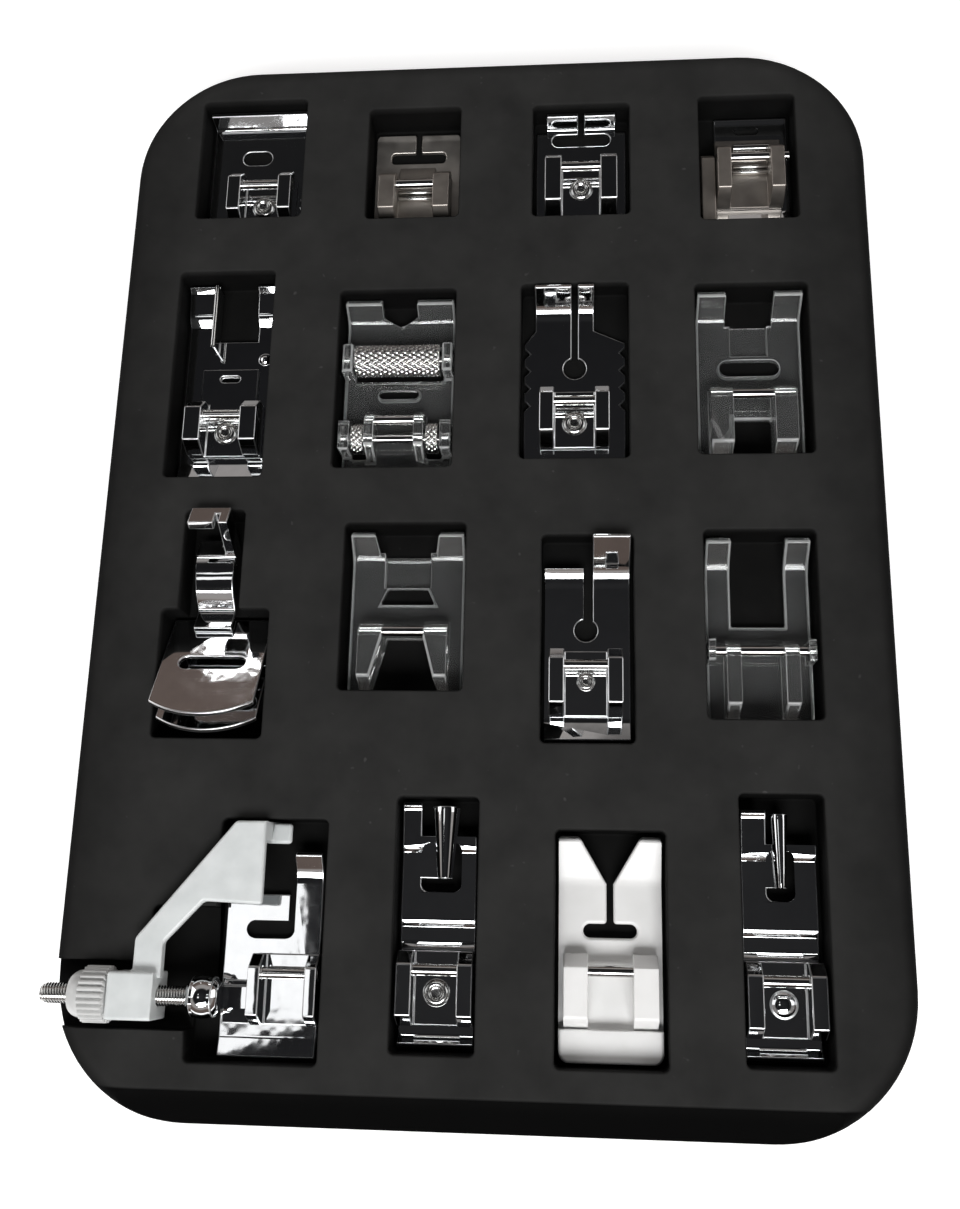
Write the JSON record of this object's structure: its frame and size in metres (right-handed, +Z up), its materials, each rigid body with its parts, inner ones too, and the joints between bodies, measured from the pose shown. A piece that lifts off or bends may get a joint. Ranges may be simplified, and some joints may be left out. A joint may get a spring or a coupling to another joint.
{
  "type": "presser foot box",
  "caption": "Black foam tray with rounded corners whose shaped pockets each hold one loose sewing machine presser foot, in chrome, clear or white plastic.",
  "frame": {"origin": "centre of the tray's underside, on the table", "axes": "+X across the tray to the right, +Y along it the way the toes point, +Z up out of the pockets"},
  "size_m": [0.1503, 0.21, 0.026],
  "materials": {
    "foam": "matte closed cell foam",
    "backing": "matte",
    "chrome": "polished",
    "nickel": "satin",
    "steel": "bright",
    "clear_plastic": "clear moulded plastic",
    "white_plastic": "smooth",
    "guide_plastic": "translucent",
    "knob_plastic": "smooth"
  },
  "bodies": {
    "tray": {"tray_foam": "foam", "tray_backing": "backing"},
    "straight_stitch_foot": {"straight_stitch_sole": "chrome", "straight_stitch_bracket": "chrome", "straight_stitch_pin": "steel", "straight_stitch_rivet": "chrome"},
    "satin_stitch_foot": {"satin_stitch_sole": "nickel", "satin_stitch_bracket": "nickel", "satin_stitch_pin": "steel"},
    "zigzag_foot": {"zigzag_sole": "chrome", "zigzag_bracket": "chrome", "zigzag_pin": "steel", "zigzag_rivet": "chrome"},
    "cording_foot": {"cording_sole": "chrome", "cording_bracket": "nickel", "cording_pin": "steel", "cording_guide": "nickel"},
    "overcast_foot": {"overcast_sole": "chrome", "overcast_bracket": "chrome", "overcast_pin": "steel", "overcast_rivet": "chrome"},
    "roller_foot": {"roller_body": "clear_plastic", "roller_pin": "steel"},
    "quarter_inch_foot": {"quarter_inch_sole": "chrome", "quarter_inch_bracket": "chrome", "quarter_inch_pin": "steel", "quarter_inch_rivet": "chrome"},
    "clear_satin_foot": {"clear_satin_body": "clear_plastic", "clear_satin_pin": "steel"},
    "gathering_foot": {"gathering_lower_plate": "chrome", "gathering_upper_plate": "chrome", "gathering_shank": "chrome"},
    "clear_zigzag_foot": {"clear_zigzag_body": "clear_plastic", "clear_zigzag_pin": "steel"},
    "ditch_foot": {"ditch_sole": "chrome", "ditch_bracket": "chrome", "ditch_pin": "steel", "ditch_rivet": "chrome"},
    "open_toe_foot": {"open_toe_body": "clear_plastic", "open_toe_pin": "steel"},
    "blind_hem_foot": {"blind_hem_sole": "chrome", "blind_hem_bracket": "chrome", "blind_hem_pin": "steel", "blind_hem_screw": "steel"},
    "wide_hem_foot": {"wide_hem_sole": "chrome", "wide_hem_bracket": "chrome", "wide_hem_pin": "steel", "wide_hem_rivet": "chrome"},
    "non_stick_foot": {"non_stick_body": "white_plastic", "non_stick_pin": "steel"},
    "narrow_hem_foot": {"narrow_hem_sole": "chrome", "narrow_hem_bracket": "chrome", "narrow_hem_pin": "steel"},
    "front_roller": {"roller_front_roller": "steel", "roller_front_axle": "steel"},
    "rear_rollers": {"roller_rear_rollers": "steel", "roller_rear_axle": "steel"},
    "blind_hem_guide": {"blind_hem_guide": "guide_plastic"},
    "blind_hem_knob": {"blind_hem_knob": "knob_plastic"}
  },
  "joints": [
    {"name": "straight_stitch_lift", "type": "slide", "parent": "tray", "child": "straight_stitch_foot", "axis": [0, 0, 1], "range_m": [0, 0.03]},
    {"name": "satin_stitch_lift", "type": "slide", "parent": "tray", "child": "satin_stitch_foot", "axis": [0, 0, 1], "range_m": [0, 0.03]},
    {"name": "zigzag_lift", "type": "slide", "parent": "tray", "child": "zigzag_foot", "axis": [0, 0, 1], "range_m": [0, 0.03]},
    {"name": "cording_lift", "type": "slide", "parent": "tray", "child": "cording_foot", "axis": [0, 0, 1], "range_m": [0, 0.03]},
    {"name": "overcast_lift", "type": "slide", "parent": "tray", "child": "overcast_foot", "axis": [0, 0, 1], "range_m": [0, 0.03]},
    {"name": "roller_lift", "type": "slide", "parent": "tray", "child": "roller_foot", "axis": [0, 0, 1], "range_m": [0, 0.03]},
    {"name": "quarter_inch_lift", "type": "slide", "parent": "tray", "child": "quarter_inch_foot", "axis": [0, 0, 1], "range_m": [0, 0.03]},
    {"name": "clear_satin_lift", "type": "slide", "parent": "tray", "child": "clear_satin_foot", "axis": [0, 0, 1], "range_m": [0, 0.03]},
    {"name": "gathering_lift", "type": "slide", "parent": "tray", "child": "gathering_foot", "axis": [0, 0, 1], "range_m": [0, 0.03]},
    {"name": "clear_zigzag_lift", "type": "slide", "parent": "tray", "child": "clear_zigzag_foot", "axis": [0, 0, 1], "range_m": [0, 0.03]},
    {"name": "ditch_lift", "type": "slide", "parent": "tray", "child": "ditch_foot", "axis": [0, 0, 1], "range_m": [0, 0.03]},
    {"name": "open_toe_lift", "type": "slide", "parent": "tray", "child": "open_toe_foot", "axis": [0, 0, 1], "range_m": [0, 0.03]},
    {"name": "blind_hem_lift", "type": "slide", "parent": "tray", "child": "blind_hem_foot", "axis": [0, 0, 1], "range_m": [0, 0.03]},
    {"name": "wide_hem_lift", "type": "slide", "parent": "tray", "child": "wide_hem_foot", "axis": [0, 0, 1], "range_m": [0, 0.03]},
    {"name": "non_stick_lift", "type": "slide", "parent": "tray", "child": "non_stick_foot", "axis": [0, 0, 1], "range_m": [0, 0.03]},
    {"name": "narrow_hem_lift", "type": "slide", "parent": "tray", "child": "narrow_hem_foot", "axis": [0, 0, 1], "range_m": [0, 0.03]},
    {"name": "front_roller_spin", "type": "hinge", "parent": "roller_foot", "child": "front_roller", "pos_m": [-0.0181, 0.0377, 0.01575], "axis": [1, 0, 0], "continuous": true},
    {"name": "rear_rollers_spin", "type": "hinge", "parent": "roller_foot", "child": "rear_rollers", "pos_m": [-0.0181, 0.0211, 0.01555], "axis": [1, 0, 0], "continuous": true},
    {"name": "guide_slide", "type": "slide", "parent": "blind_hem_foot", "child": "blind_hem_guide", "axis": [1, 0, 0], "range_m": [-0.003, 0.003]},
    {"name": "knob_turn", "type": "hinge", "parent": "blind_hem_guide", "child": "blind_hem_knob", "pos_m": [-0.0627, -0.0838, 0.02055], "axis": [1, 0, 0], "range_deg": [-1080, 1080]}
  ],
  "couplings": [
    {"joint": "knob_turn", "follows": "guide_slide", "rad_per_m": 6283.2}
  ]
}
